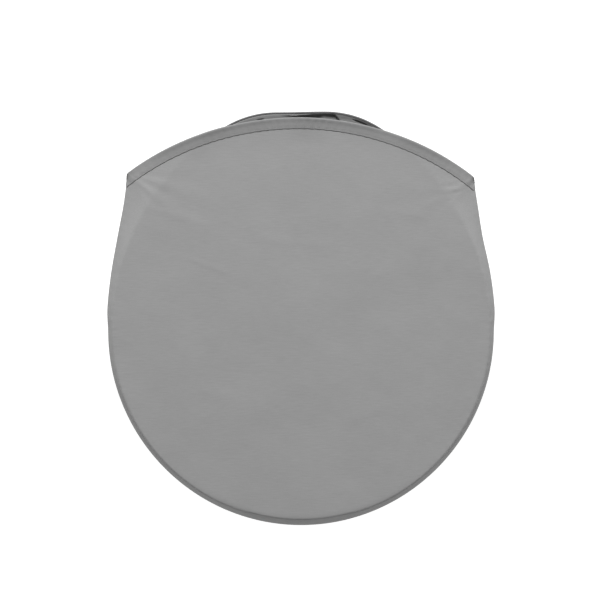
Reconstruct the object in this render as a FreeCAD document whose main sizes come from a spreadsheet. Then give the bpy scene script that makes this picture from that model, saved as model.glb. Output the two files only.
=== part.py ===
import FreeCAD, Part

import math
import os

import Sketcher
from FreeCAD import Placement, Rotation, Vector

# A collapsible backdrop, twist-folded into three coils and stored in its cloth pouch, lying on
# its back. The origin is on the resting face, under the coils' axis. +X is to the right, +Y
# towards the pouch's mouth and +Z up. Sizes are in millimetres and degrees.

DRIVING = [
    # the sprung hoop's centre line: a half circle below, a flatter crown above
    ("coil_radius", 310.0),
    ("crown_height", 361.0),
    ("crown_flat", 40.0),
    ("crown_radius", 165.0),
    ("lane_step", 6.0),
    ("band_thickness", 1.2),
    ("band_width", 10.0),
    ("band_play", 0.2),
    ("band_end_gap", 1.0),
    ("binding_cloth", 1.0),
    ("coil_gap", 1.6),
    ("stack_base", 2.9),
    ("leaf_thickness", 6.0),
    ("leaf_gap", 0.6),
    # the joint between the band's two ends
    ("sleeve_length", 60.0),
    ("sleeve_wall", 0.6),
    ("rivet_radius", 1.2),
    ("rivet_head_radius", 2.2),
    ("rivet_head_rise", 0.5),
    ("rivet_pitch", 12.0),
    ("wrap_wall", 0.6),
    ("wrap_overhang", 6.0),
    ("joint_play", 0.2),
    # the pouch
    ("pouch_cloth", 0.8),
    ("pouch_slack", 6.0),
    ("seam_height", 22.0),
    ("edge_roll", 10.5),
    ("lift_gap", 1.0),
    ("corner_inset", 34.0),
    ("corner_drop", 103.5),
    ("front_rise", 94.5),
    ("back_rise", 92.0),
    ("hem_width", 19.0),
    ("hem_cloth", 0.8),
    ("tape_thickness", 1.6),
    ("tape_width", 12.0),
    ("tack_length", 12.0),
    ("tack_width", 8.0),
    ("tack_rise", 1.2),
    ("hinge_above_corner", 20.0),
    ("hinge_gap", 1.0),
    ("thread", 0.5),
    ("stitch_inset", 2.5),
]
COILS = 3
JOINT_COIL = 1  # the coil whose lowest point holds the band's joint
RIVET_PLACES = (-1.5, -0.5, 0.5, 1.5)  # along the sleeve, in rivet pitches
OVERRUN = 6.0  # how far a cutting shape runs past the face that it opens
REACH = 1000.0  # longer than anything in the part

doc = FreeCAD.newDocument("folded_backdrop")
sheet = doc.addObject("Spreadsheet::Sheet", "sizes")
for row, (alias, amount) in enumerate(DRIVING, start=1):
    sheet.set(f"A{row}", alias)
    sheet.set(f"B{row}", str(amount))
    sheet.setAlias(f"B{row}", alias)
doc.recompute()

# Sizes that follow from the driving ones, as expressions for the document's features.
CASING_WIDTH = "(sizes.band_thickness + 2 * (sizes.band_play + sizes.binding_cloth))"
CASING_HEIGHT = "(sizes.band_width + 2 * (sizes.band_play + sizes.binding_cloth))"
COIL_PITCH = f"({CASING_HEIGHT} + sizes.coil_gap)"
STACK_TOP = f"(sizes.stack_base + {COILS - 1} * {COIL_PITCH} + {CASING_HEIGHT})"
FRONT_TOP = f"({STACK_TOP} + sizes.lift_gap + sizes.pouch_cloth)"
POUCH_RADIUS = (
    f"(sizes.coil_radius + {CASING_WIDTH} / 2 + sizes.pouch_slack"
    " + sizes.tape_thickness + sizes.pouch_cloth)"
)
CORNER_X = f"({POUCH_RADIUS} - sizes.corner_inset)"
CORNER_Y = "(sizes.crown_height - sizes.corner_drop)"
HINGE_Y = f"({CORNER_Y} + sizes.hinge_above_corner)"
SIDE_RADIUS = f"((sizes.corner_inset ^ 2 + {CORNER_Y} ^ 2) / (2 * sizes.corner_inset))"
FRONT_ARC = f"(({CORNER_X} ^ 2 + sizes.front_rise ^ 2) / (2 * sizes.front_rise))"
FRONT_CENTRE_Y = f"({CORNER_Y} + sizes.front_rise - {FRONT_ARC})"
BACK_ARC = f"(({CORNER_X} ^ 2 + sizes.back_rise ^ 2) / (2 * sizes.back_rise))"
BACK_CENTRE_Y = f"({CORNER_Y} + sizes.back_rise - {BACK_ARC})"
FRONT_ROLL = f"min(sizes.edge_roll; {FRONT_TOP} - sizes.seam_height - sizes.pouch_cloth)"
BACK_ROLL = "min(sizes.edge_roll; sizes.seam_height - sizes.pouch_cloth)"


def number(expression):
    """The value of an expression over the sheet's sizes."""
    result = sheet.evalExpression(expression)
    return float(getattr(result, "Value", result))


def size(alias):
    """A driving size."""
    return number(f"sizes.{alias}")


# ---------------------------------------------------------------- sketches and primitives


def add_body(name):
    """An empty PartDesign body."""
    return doc.addObject("PartDesign::Body", name)


def add_sketch(body, name, height):
    """A sketch parallel to the body's XY plane, at a height above it."""
    sketch = body.newObject("Sketcher::SketchObject", name)
    plane = next(p for p in body.Origin.OriginFeatures if p.Role == "XY_Plane")
    sketch.AttachmentSupport = [(plane, "")]
    sketch.MapMode = "FlatFace"
    sketch.setExpression(".AttachmentOffset.Base.z", f"{height} * 1 mm")
    return sketch


def add_arc(sketch, centre, radius, start, end):
    """A circle's arc, anticlockwise from the angle start to the angle end, in radians."""
    circle = Part.Circle(Vector(*centre, 0), Vector(0, 0, 1), radius)
    return sketch.addGeometry(Part.ArcOfCircle(circle, start, end))


def constrain(sketch, kind, *references):
    """A constraint without a dimension."""
    sketch.addConstraint(Sketcher.Constraint(kind, *references))


def dimension(sketch, kind, *references, follows):
    """A constraint whose dimension follows an expression."""
    constraint = Sketcher.Constraint(kind, *references, number(follows))
    index = sketch.addConstraint(constraint)
    sketch.setExpression(f"Constraints[{index}]", f"{follows} * 1 mm")


def add_pad(body, sketch, thickness):
    """Pads the sketch upwards by a thickness."""
    pad = body.newObject("PartDesign::Pad", f"{body.Name}_pad")
    pad.Profile = sketch
    pad.setExpression("Length", f"{thickness} * 1 mm")
    doc.recompute()
    return pad


def add_box(name, low, extent):
    """A box from its low corner and its extent, all expressions."""
    box = doc.addObject("Part::Box", name)
    for axis, text in zip("xyz", low):
        box.setExpression(f".Placement.Base.{axis}", f"{text} * 1 mm")
    for side, text in zip(("Length", "Width", "Height"), extent):
        box.setExpression(side, f"{text} * 1 mm")
    return box


def add_boolean(kind, name, base, tool):
    """A Part::Cut or Part::Common of two objects."""
    feature = doc.addObject(f"Part::{kind}", name)
    feature.Base = base
    feature.Tool = tool
    return feature


# ---------------------------------------------------------------- the pouch


def outline_sketch(body, height, inset, overrun, mouth_arc):
    """The pouch's outline, moved in by inset: round below, two leaning sides, a bowed mouth."""
    sketch = add_sketch(body, f"{body.Name}_outline", height)
    round_text = f"({POUCH_RADIUS} - {inset})"
    side_text = f"({SIDE_RADIUS} - {inset})"
    corner_text = f"({CORNER_Y} + {overrun})"
    radius, side, corner_y = number(round_text), number(side_text), number(corner_text)
    mouth = number(mouth_arc)
    side_x = radius - side
    corner_x = side_x + math.sqrt(side**2 - corner_y**2)
    lean = math.asin(corner_y / side)
    spread = math.asin(corner_x / mouth)
    mouth_centre = corner_y - mouth * math.cos(spread)
    up = math.pi / 2
    low = add_arc(sketch, (0, 0), radius, math.pi, 2 * math.pi)
    right = add_arc(sketch, (side_x, 0), side, 0, lean)
    top = add_arc(sketch, (0, mouth_centre), mouth, up - spread, up + spread)
    left = add_arc(sketch, (-side_x, 0), side, math.pi - lean, math.pi)
    start, end, centre, x_axis = 1, 2, 3, -1
    constrain(sketch, "Coincident", low, centre, -1, 1)
    constrain(sketch, "PointOnObject", low, start, x_axis)
    constrain(sketch, "PointOnObject", low, end, x_axis)
    for first, second in ((low, right), (right, top), (top, left), (left, low)):
        constrain(sketch, "Coincident", first, end, second, start)
    for arc in (right, left):
        constrain(sketch, "PointOnObject", arc, centre, x_axis)
        dimension(sketch, "Radius", arc, follows=side_text)
    dimension(sketch, "Radius", low, follows=round_text)
    dimension(sketch, "Radius", top, follows=mouth_arc)
    dimension(sketch, "DistanceY", -1, 1, right, end, follows=corner_text)
    dimension(sketch, "DistanceY", -1, 1, left, start, follows=corner_text)
    return sketch


def pouch_pad(name, low, high, inset="0", overrun="0", mouth_arc=FRONT_ARC):
    """A plate of the pouch's outline between two heights."""
    body = add_body(name)
    sketch = outline_sketch(body, low, inset, overrun, mouth_arc)
    add_pad(body, sketch, f"({high} - {low})")
    return body


def roll_edge(body, height, radius):
    """Rounds the plate's edge at a height, round the sides and below but not at the mouth."""
    pad = body.Tip
    level, corner_y = number(height), number(CORNER_Y)
    names = []
    for index, edge in enumerate(pad.Shape.Edges, start=1):
        middle = edge.valueAt((edge.FirstParameter + edge.LastParameter) / 2)
        flat = all(abs(v.Z - level) < 1e-6 for v in edge.Vertexes)
        if flat and abs(middle.z - level) < 1e-6 and middle.y < corner_y:
            names.append(f"Edge{index}")
    fillet = body.newObject("PartDesign::Fillet", f"{body.Name}_roll")
    fillet.Base = (pad, names)
    fillet.setExpression("Radius", f"{radius} * 1 mm")
    doc.recompute()
    return body


def pouch_shell(name, low, high, inner_low, inner_high, rolled, roll, mouth_arc):
    """Half of the pouch as a cloth shell, open at the seam and at the mouth."""
    outer_rim, inner_rim = rolled
    outer = pouch_pad(f"{name}_outside", low, high, mouth_arc=mouth_arc)
    roll_edge(outer, outer_rim, roll)
    inner = pouch_pad(
        f"{name}_inside",
        inner_low,
        inner_high,
        inset="sizes.pouch_cloth",
        overrun=str(OVERRUN),
        mouth_arc=mouth_arc,
    )
    roll_edge(inner, inner_rim, f"({roll} - sizes.pouch_cloth)")
    return add_boolean("Cut", name, outer, inner)


def wall_strip(name, low, high, outer_inset, thickness):
    """A strip that follows the pouch's wall from corner to corner, and leaves the mouth open."""
    outer = pouch_pad(f"{name}_outside", low, high, inset=outer_inset)
    inner = pouch_pad(
        f"{name}_inside",
        f"({low} - 1)",
        f"({high} + 1)",
        inset=f"({outer_inset} + {thickness})",
        overrun=str(OVERRUN),
    )
    return add_boolean("Cut", name, outer, inner)


def beyond(name, line):
    """Everything on the mouth's side of a line across the pouch."""
    low = (f"{-REACH}", line, f"{-REACH}")
    return add_box(name, low, (f"{2 * REACH}", f"{REACH}", f"{2 * REACH}"))


def hem_band(name, low, high, mouth_arc, centre_y):
    """A band of cloth along the mouth's edge."""
    blank = pouch_pad(f"{name}_blank", low, high, mouth_arc=mouth_arc)
    inside = doc.addObject("Part::Cylinder", f"{name}_inside")
    inside.setExpression("Radius", f"({mouth_arc} - sizes.hem_width) * 1 mm")
    inside.Height = 2 * REACH
    inside.Placement.Base.z = -REACH
    inside.setExpression(".Placement.Base.y", f"{centre_y} * 1 mm")
    return add_boolean("Cut", name, blank, inside)


def hem_stitching(name, height, mouth_arc, centre_y, line):
    """A row of thread along the hem's inner edge, as far as a line across the pouch."""
    row = doc.addObject("Part::Torus", name)
    radius = f"({mouth_arc} - sizes.hem_width + sizes.stitch_inset)"
    half = f"acos(({line} + sizes.stitch_inset - {centre_y}) / {radius})"
    row.setExpression("Radius1", f"{radius} * 1 mm")
    row.setExpression("Radius2", "sizes.thread / 2 * 1 mm")
    row.setExpression("Angle3", f"2 * {half}")
    row.Placement = Placement(Vector(), Rotation(Vector(0, 0, 1), 1))
    row.setExpression(".Placement.Rotation.Angle", f"90 deg - {half}")
    row.setExpression(".Placement.Base.y", f"{centre_y} * 1 mm")
    row.setExpression(".Placement.Base.z", f"({height} + sizes.thread / 2) * 1 mm")
    return row


def make_pouch():
    """The pouch's pieces and the lip's pieces, by name."""
    cloth = "sizes.pouch_cloth"
    seam = "sizes.seam_height"
    back = pouch_shell(
        "pouch_back_panel",
        low="0",
        high=seam,
        inner_low=cloth,
        inner_high=f"({seam} + 1)",
        rolled=("0", cloth),
        roll=BACK_ROLL,
        mouth_arc=BACK_ARC,
    )
    front = pouch_shell(
        "front_shell",
        low=seam,
        high=FRONT_TOP,
        inner_low=f"({seam} - 1)",
        inner_high=f"({FRONT_TOP} - {cloth})",
        rolled=(FRONT_TOP, f"({FRONT_TOP} - {cloth})"),
        roll=FRONT_ROLL,
        mouth_arc=FRONT_ARC,
    )
    above_hinge = beyond("above_hinge", f"({HINGE_Y} + sizes.hinge_gap / 2)")
    from_hinge = beyond("from_hinge", f"({HINGE_Y} - sizes.hinge_gap / 2)")
    panel = add_boolean("Cut", "pouch_front_panel", front, from_hinge)
    lip = add_boolean("Common", "pouch_front_lip", front, above_hinge)

    hem_top = f"({FRONT_TOP} + sizes.hem_cloth)"
    whole_hem = hem_band("whole_front_hem", FRONT_TOP, hem_top, FRONT_ARC, FRONT_CENTRE_Y)
    front_hem = add_boolean("Common", "front_mouth_hem", whole_hem, above_hinge)
    back_hem_top = f"({cloth} + sizes.hem_cloth)"
    whole_back = hem_band("whole_back_hem", cloth, back_hem_top, BACK_ARC, BACK_CENTRE_Y)
    back_hem = add_boolean("Common", "back_mouth_hem", whole_back, above_hinge)

    front_row = hem_stitching(
        "front_hem_stitching", hem_top, FRONT_ARC, FRONT_CENTRE_Y, HINGE_Y
    )
    back_row = hem_stitching(
        "back_hem_stitching", back_hem_top, BACK_ARC, BACK_CENTRE_Y, HINGE_Y
    )

    tape = wall_strip(
        "side_seam_tape",
        f"({seam} - sizes.tape_width / 2)",
        f"({seam} + sizes.tape_width / 2)",
        cloth,
        "sizes.tape_thickness",
    )
    seam_thread = wall_strip(
        "side_seam_stitching",
        f"({seam} - sizes.thread / 2)",
        f"({seam} + sizes.thread / 2)",
        f"({cloth} + sizes.tape_thickness)",
        "sizes.thread",
    )
    tacks = make_corner_tacks(seam)
    pieces = [back, panel, lip, front_hem, back_hem, front_row, back_row, tape, seam_thread]
    return pieces + tacks


def make_corner_tacks(seam):
    """The dense stitches over the seam at the mouth's two corners, proud of the cloth."""
    collar = wall_strip(
        "corner_collar",
        f"({seam} - sizes.tack_width / 2)",
        f"({seam} + sizes.tack_width / 2)",
        "(0 - sizes.tack_rise)",
        "sizes.tack_rise",
    )
    tacks = []
    for name, low_x in (("left_corner_tack", -REACH), ("right_corner_tack", 0.0)):
        low = (f"{low_x}", f"({CORNER_Y} - sizes.tack_length)", "0")
        reach = add_box(f"{name}_reach", low, (f"{REACH}", "sizes.tack_length", f"{REACH}"))
        tacks.append(add_boolean("Common", name, collar, reach))
    return tacks


# ---------------------------------------------------------------- the folded backdrop


def crown_arcs(radius, height, crown):
    """The flank's radius, and the angle in degrees at which the flank meets the crown.

    The flank starts at the widest point and the crown ends level at the flat top's end.
    """
    rise = height - crown
    reach = radius - size("crown_flat") - crown
    apart = (rise**2 + reach**2) / (2 * reach)
    return crown + apart, math.degrees(math.asin(rise / apart))


def arc_edge(centre, radius, start, end):
    """A flat arc between two angles, in degrees."""
    angles = [math.radians(a) for a in (start, (start + end) / 2, end)]
    ends = [centre + Vector(radius * math.cos(a), radius * math.sin(a), 0) for a in angles]
    return Part.Arc(*ends).toShape()


def half_turn_side(offset, lane):
    """The arcs of the right half of a coil, moved out by offset, from below to the flat top."""
    radius, height = size("coil_radius"), size("crown_height") - lane
    crown = size("crown_radius")
    flank, meet = crown_arcs(radius, height, crown)
    flat_end = Vector(size("crown_flat"), height - crown, 0)
    return [
        arc_edge(Vector(), radius + offset, -90, 0),
        arc_edge(Vector(radius - flank, 0, 0), flank + offset, 0, meet),
        arc_edge(flat_end, crown + offset, meet, 90),
    ]


def line(start, end):
    """A straight edge."""
    return Part.makeLine(start, end)


def filled(edges):
    """A face from edges in any order."""
    return Part.Face(Part.Wire(Part.__sortEdges__(edges)))


def half_turn(width, height, base, lane, side):
    """Half a coil of a strip with a rectangular section."""
    outer = half_turn_side(width / 2, lane)
    inner = half_turn_side(-width / 2, lane)
    below = line(outer[0].Vertexes[0].Point, inner[0].Vertexes[0].Point)
    above = line(outer[-1].Vertexes[-1].Point, inner[-1].Vertexes[-1].Point)
    face = filled([*outer, *inner, below, above])
    face.translate(Vector(0, 0, base))
    solid = face.extrude(Vector(0, 0, height))
    return solid if side > 0 else solid.mirror(Vector(), Vector(1, 0, 0))


def ramp(width, height, start, end, lane):
    """The flat top's run from one coil's level to another's, as two equal and opposite bends."""
    reach = size("crown_flat")
    rise = end - start
    bend = (reach**2 + (rise / 2) ** 2) / abs(rise)
    turn = math.asin(reach / bend)
    way = math.copysign(1, rise)

    def point(share, second):
        across = reach - bend * math.sin(share * turn)
        up = way * bend * (1 - math.cos(share * turn))
        return Vector(across, 0, end - up) if second else Vector(-across, 0, start + up)

    edges = []
    for lift in (0, height):
        for second in (False, True):
            ends = [point(s, second) + Vector(0, 0, lift) for s in (0, 0.5, 1)]
            edges.append(Part.Arc(*ends).toShape())
    for share_end in (point(0, False), point(0, True)):
        edges.append(line(share_end, share_end + Vector(0, 0, height)))
    face = filled(edges)
    face.translate(Vector(0, size("crown_height") - lane - width / 2, 0))
    return face.extrude(Vector(0, width, 0))


def coiled_strip(width, height, base):
    """One closed strip wound three times round.

    Each coil climbs to the next across the flat top, and the last comes back down to the first
    in a lane just inside them.
    """
    pitch = number(COIL_PITCH)
    inside = size("lane_step")
    runs = []
    for coil in range(COILS):
        level = base + coil * pitch
        first, last = coil == 0, coil == COILS - 1
        runs.append(half_turn(width, height, level, inside if first else 0, +1))
        runs.append(half_turn(width, height, level, inside if last else 0, -1))
        if last:
            runs.append(ramp(width, height, level, base, inside))
        else:
            runs.append(ramp(width, height, level, level + pitch, 0))
    return runs[0].multiFuse(runs[1:]).removeSplitter()


def joint_block(width, height, length):
    """A curved bar over the band's joint, centred on the band."""
    middle = size("stack_base") + JOINT_COIL * number(COIL_PITCH) + number(CASING_HEIGHT) / 2
    radius = size("coil_radius")
    half = math.degrees(length / 2 / radius)
    outer = arc_edge(Vector(), radius + width / 2, -90 - half, -90 + half)
    inner = arc_edge(Vector(), radius - width / 2, -90 - half, -90 + half)
    sides = [line(outer.Vertexes[i].Point, inner.Vertexes[i].Point) for i in (0, 1)]
    face = filled([outer, inner, *sides])
    face.translate(Vector(0, 0, middle - height / 2))
    return face.extrude(Vector(0, 0, height))


def rivet_part(radius, low, high):
    """The same stretch of every rivet, from low to high out of the band's middle."""
    middle = size("stack_base") + JOINT_COIL * number(COIL_PITCH) + number(CASING_HEIGHT) / 2
    pieces = []
    for place in RIVET_PLACES:
        angle = place * size("rivet_pitch") / size("coil_radius")
        out = Vector(math.sin(angle), -math.cos(angle), 0)
        start = out * (size("coil_radius") + low) + Vector(0, 0, middle)
        pieces.append(Part.makeCylinder(radius, high - low, start, out))
    return Part.makeCompound(pieces)


def add_shape(name, shape):
    """A feature that holds a shape worked out above."""
    feature = doc.addObject("Part::Feature", name)
    feature.Shape = shape
    return feature


def make_hoop():
    """The band, its joint and its binding."""
    thickness, width = size("band_thickness"), size("band_width")
    play, cloth = size("band_play"), size("binding_cloth")
    base = size("stack_base")
    casing_width, casing_height = number(CASING_WIDTH), number(CASING_HEIGHT)

    sleeve_thickness = thickness + 2 * size("sleeve_wall")
    sleeve_width = width + 2 * size("sleeve_wall")
    wrap_room = sleeve_thickness + 2 * size("rivet_head_rise")
    wrap_thickness = wrap_room + 2 * size("wrap_wall")
    wrap_width = sleeve_width + 2 * size("wrap_wall")
    wrap_length = size("sleeve_length") + 2 * size("wrap_overhang")
    pocket = 2 * size("joint_play")
    pocket_length = wrap_length + pocket
    bulge_length = pocket_length + 2 * cloth

    shanks = rivet_part(size("rivet_radius"), -sleeve_thickness / 2, sleeve_thickness / 2)
    band = coiled_strip(thickness, width, base + cloth + play)
    ends_gap = joint_block(2 * thickness, 2 * width, size("band_end_gap"))
    band = band.cut([ends_gap, shanks])

    head = size("rivet_head_radius")
    rise = size("rivet_head_rise")
    heads = [
        rivet_part(head, sleeve_thickness / 2, sleeve_thickness / 2 + rise),
        rivet_part(head, -sleeve_thickness / 2 - rise, -sleeve_thickness / 2),
    ]
    rivets = shanks.multiFuse(heads).removeSplitter()

    sleeve = joint_block(sleeve_thickness, sleeve_width, size("sleeve_length"))
    band_room = joint_block(thickness, width, size("sleeve_length") + 2)
    sleeve = sleeve.cut([band_room, rivets])

    wrap = joint_block(wrap_thickness, wrap_width, wrap_length)
    wrap = wrap.cut([joint_block(wrap_room, sleeve_width, wrap_length + 2), rivets])

    casing = coiled_strip(casing_width, casing_height, base)
    channel = coiled_strip(thickness + 2 * play, width + 2 * play, base + cloth)
    bulge = joint_block(
        wrap_thickness + pocket + 2 * cloth, wrap_width + pocket + 2 * cloth, bulge_length
    )
    joint_pocket = joint_block(wrap_thickness + pocket, wrap_width + pocket, pocket_length)
    binding = casing.fuse(bulge).cut([channel, joint_pocket])

    thread = size("thread")
    binding_thread = coiled_strip(thread, thread, base + casing_height).cut(bulge)

    pieces = [
        add_shape("spring_band", band),
        add_shape("band_joint_sleeve", sleeve),
        add_shape("band_joint_rivets", rivets),
        add_shape("band_joint_wrap", wrap),
        add_shape("edge_binding", binding),
        add_shape("edge_binding_stitching", binding_thread),
    ]
    return pieces, add_shape("joint_bulge", bulge)


def leaf_sketch(body, height):
    """The room inside the coils: a half circle, two flanks, two crown arcs and a flat top."""
    sketch = add_sketch(body, f"{body.Name}_outline", height)
    half_binding = f"{CASING_WIDTH} / 2"
    radius_text = f"(sizes.coil_radius - {half_binding})"
    top_text = f"(sizes.crown_height - sizes.lane_step - {half_binding} - sizes.leaf_gap)"
    crown_text = f"(sizes.crown_radius - {half_binding} - sizes.leaf_gap)"
    radius, top, crown = number(radius_text), number(top_text), number(crown_text)
    flat = size("crown_flat")
    flank, meet = crown_arcs(radius, top, crown)
    meet = math.radians(meet)
    rise_text = f"({top_text} - {crown_text})"
    reach_text = f"({radius_text} - sizes.crown_flat - {crown_text})"
    flank_text = (
        f"({crown_text} + ({rise_text} ^ 2 + {reach_text} ^ 2) / (2 * {reach_text}))"
    )
    up = math.pi / 2
    low = add_arc(sketch, (0, 0), radius, 2 * up, 4 * up)
    right_flank = add_arc(sketch, (radius - flank, 0), flank, 0, meet)
    right_crown = add_arc(sketch, (flat, top - crown), crown, meet, up)
    ends = [Vector(flat, top, 0), Vector(-flat, top, 0)]
    flat_top = sketch.addGeometry(Part.LineSegment(*ends))
    left_crown = add_arc(sketch, (-flat, top - crown), crown, up, 2 * up - meet)
    left_flank = add_arc(sketch, (flank - radius, 0), flank, 2 * up - meet, 2 * up)
    start, end, centre, x_axis = 1, 2, 3, -1
    constrain(sketch, "Coincident", low, centre, -1, 1)
    constrain(sketch, "PointOnObject", low, start, x_axis)
    constrain(sketch, "PointOnObject", low, end, x_axis)
    dimension(sketch, "Radius", low, follows=radius_text)
    joins = [(low, right_flank), (right_crown, flat_top), (flat_top, left_crown)]
    for first, second in [*joins, (left_flank, low)]:
        constrain(sketch, "Coincident", first, end, second, start)
    constrain(sketch, "Tangent", right_flank, end, right_crown, start)
    constrain(sketch, "Tangent", left_crown, end, left_flank, start)
    for arc in (right_flank, left_flank):
        constrain(sketch, "PointOnObject", arc, centre, x_axis)
        dimension(sketch, "Radius", arc, follows=flank_text)
    for point, way in ((start, 1), (end, -1)):
        reach = f"({way} * sizes.crown_flat)"
        dimension(sketch, "DistanceX", -1, 1, flat_top, point, follows=reach)
        dimension(sketch, "DistanceY", -1, 1, flat_top, point, follows=top_text)
    return sketch


def make_leaves(bulge):
    """The backdrop's sheet, folded into one leaf inside each coil."""
    leaves = []
    for coil, name in enumerate(("lower", "middle", "upper")):
        leaf = f"backdrop_cloth_{name}_leaf"
        final = coil != JOINT_COIL
        body = add_body(leaf if final else f"{leaf}_blank")
        rise = f"(({CASING_HEIGHT} - sizes.leaf_thickness) / 2)"
        height = f"(sizes.stack_base + {coil} * {COIL_PITCH} + {rise})"
        add_pad(body, leaf_sketch(body, height), "sizes.leaf_thickness")
        leaves.append(body if final else add_boolean("Cut", leaf, body, bulge))
    return leaves


# ---------------------------------------------------------------- checks and files


def main():
    pieces = make_pouch()
    hoop, bulge = make_hoop()
    pieces += hoop + make_leaves(bulge)
    doc.recompute()
    for item in doc.Objects:
        bad = {"Invalid", "Error"} & set(item.State)
        if bad:
            raise RuntimeError(f"{item.Name} failed: {sorted(bad)}")
    for piece in pieces:
        shape = piece.Shape
        if shape.isNull() or not shape.isValid() or not shape.Solids:
            raise RuntimeError(f"{piece.Name} has no valid solid")
        piece.Label = piece.Name
    os.makedirs("parts", exist_ok=True)
    for piece in pieces:
        piece.Shape.exportStep(f"parts/{piece.Label}.step")
        box = piece.Shape.BoundBox
        print(
            f"{piece.Label}: {len(piece.Shape.Solids)} solid(s), "
            f"{piece.Shape.Volume / 1000:.2f} cm3, z {box.ZMin:.2f} to {box.ZMax:.2f}"
        )


main()
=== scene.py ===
import math

import bpy
import numpy as np
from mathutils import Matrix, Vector
from mathutils.bvhtree import BVHTree


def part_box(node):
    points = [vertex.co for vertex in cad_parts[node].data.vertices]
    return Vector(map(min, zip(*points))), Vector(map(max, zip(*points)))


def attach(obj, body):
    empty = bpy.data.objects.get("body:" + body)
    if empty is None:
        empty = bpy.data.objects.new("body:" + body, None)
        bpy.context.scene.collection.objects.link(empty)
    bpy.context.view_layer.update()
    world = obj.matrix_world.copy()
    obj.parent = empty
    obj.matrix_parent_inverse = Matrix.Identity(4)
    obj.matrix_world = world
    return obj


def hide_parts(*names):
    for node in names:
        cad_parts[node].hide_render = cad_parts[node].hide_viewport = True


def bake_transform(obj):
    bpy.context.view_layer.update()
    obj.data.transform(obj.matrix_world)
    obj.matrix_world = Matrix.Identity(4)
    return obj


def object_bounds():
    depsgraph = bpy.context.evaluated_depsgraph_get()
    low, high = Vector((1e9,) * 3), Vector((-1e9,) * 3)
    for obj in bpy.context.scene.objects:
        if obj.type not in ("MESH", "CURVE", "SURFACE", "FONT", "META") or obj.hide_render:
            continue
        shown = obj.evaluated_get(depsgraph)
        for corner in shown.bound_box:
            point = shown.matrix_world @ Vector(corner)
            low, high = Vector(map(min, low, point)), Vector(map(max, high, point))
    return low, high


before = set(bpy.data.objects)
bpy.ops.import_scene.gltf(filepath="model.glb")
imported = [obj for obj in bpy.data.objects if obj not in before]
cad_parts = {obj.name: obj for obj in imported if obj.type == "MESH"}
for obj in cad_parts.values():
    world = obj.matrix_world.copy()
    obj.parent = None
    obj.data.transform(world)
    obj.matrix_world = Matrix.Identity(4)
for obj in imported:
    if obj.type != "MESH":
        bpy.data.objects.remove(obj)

# The folded backdrop in its pouch, lying on its back. Everything is in metres, in the CAD
# model's frame: +X right, +Y towards the pouch's mouth, +Z up.

MM = 0.001
CAD_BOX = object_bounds()

PANEL_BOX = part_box("pouch_back_panel")
FRONT_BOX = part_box("pouch_front_panel")
BINDING_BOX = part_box("edge_binding")
POUCH_RADIUS = PANEL_BOX[1].x
SEAM_Z = PANEL_BOX[1].z
FRONT_Z = FRONT_BOX[1].z
STACK_BASE = BINDING_BOX[0].z
STACK_TOP = BINDING_BOX[1].z
ABOVE_ALL = 0.2  # higher than every piece, where rays start

# the pouch
CLOTH = 0.6 * MM
CENTRE = np.array([0.0, 20 * MM])
FRONT_MOUTH_RISE = 93.5 * MM
BACK_MOUTH_RISE = 91.0 * MM
FRONT_LIFT = 1.6 * MM  # the front cloth above its CAD solid
BACK_LIFT = 0.35 * MM  # the back cloth above the floor
BOTTOM_SLACK = 0.0055  # share of the radius by which the bottom hangs past a half circle
CORNER_RISE = 5 * MM
CORNER_FROM = 60 * MM  # how far up the slack corners start
SHOULDER = 1.2 * MM  # the cloth's turn over the coils' edge
EDGE_DIP, EDGE_DIP_REACH = 1.9 * MM, 10 * MM  # the front sinks towards its bottom edge
BOTTOM_INSET = 0.9 * MM
SEAM_PULL = 1.2 * MM  # the stitches pull the seam inwards
FULLNESS, LESS_AT_CORNERS, LESS_BELOW = 0.75, 0.45, 0.55
RELAX_ROUNDS = 900

# the mouth's edge and its hem
FLARES = ((5.0 * MM, 6.5 * MM), (2.2 * MM, 16.0 * MM))  # heights and reaches
BILLOW = 3.6 * MM  # the mouth edge stands up most near its middle
LIP_ROLL = 3.4 * MM
LIP_DROP = 1.5 * MM
HEM_WIDTH = 19 * MM
HEM_THICKNESS = 0.8 * MM
STITCH_FROM_EDGE = 3.8 * MM
SEAM_CLEARANCE = 0.4 * MM

# how far in from the pouch's radius each side runs, at a few heights up to the mouth's corner
LEFT_SIDE = [(0, 0), (40, -1.2), (98, 5.2), (158, 16.0), (212, 26.3), (261.5, 32.6)]
RIGHT_SIDE = [(0, 0), (40, -1.2), (98, 6.0), (158, 19.0), (208, 27.0), (255.6, 34.6)]

# the hem's section: distance from the mouth's edge in mm, and height in hem thicknesses
HEM_PROFILE = (
    (0, 0.2), (0.3, 0.8), (1.2, 1.15), (2.6, 1.2), (5, 1.12), (8, 1.1), (11, 1.1),
    (13.2, 1.05), (14.2, 0.9), (15.2, 0.66), (16.2, 0.8), (17.4, 0.6), (19.0, 0.1),
)

# soft folds of the front cloth: start, end, width and height in mm
CREASES = (
    ((-185, 122), (-120, 98), 5, 0.35),
    ((-85, 158), (55, 140), 7, 0.35),
    ((-250, 205), (-150, 178), 6, 0.40),
    ((120, 205), (215, 188), 7, 0.35),
    ((60, -150), (150, -120), 9, 0.30),
    ((-170, -95), (-60, -118), 9, 0.30),
)

# the folded hoop
BINDING_WIDTH = 3.6 * MM
CROWN_FLAT = 40 * MM
CROWN_RADIUS = 165 * MM
LANE_STEP = 6 * MM
COILS = 3
CASING_HEIGHT = 12.4 * MM

# the folded sheet's swirls: folds round the middle, twist, and height in mm
SWIRLS = ((3, 5.0, 1.5), (5, -7.0, 1.0), (8, 9.0, 0.7), (13, 4.0, 0.4))

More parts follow.
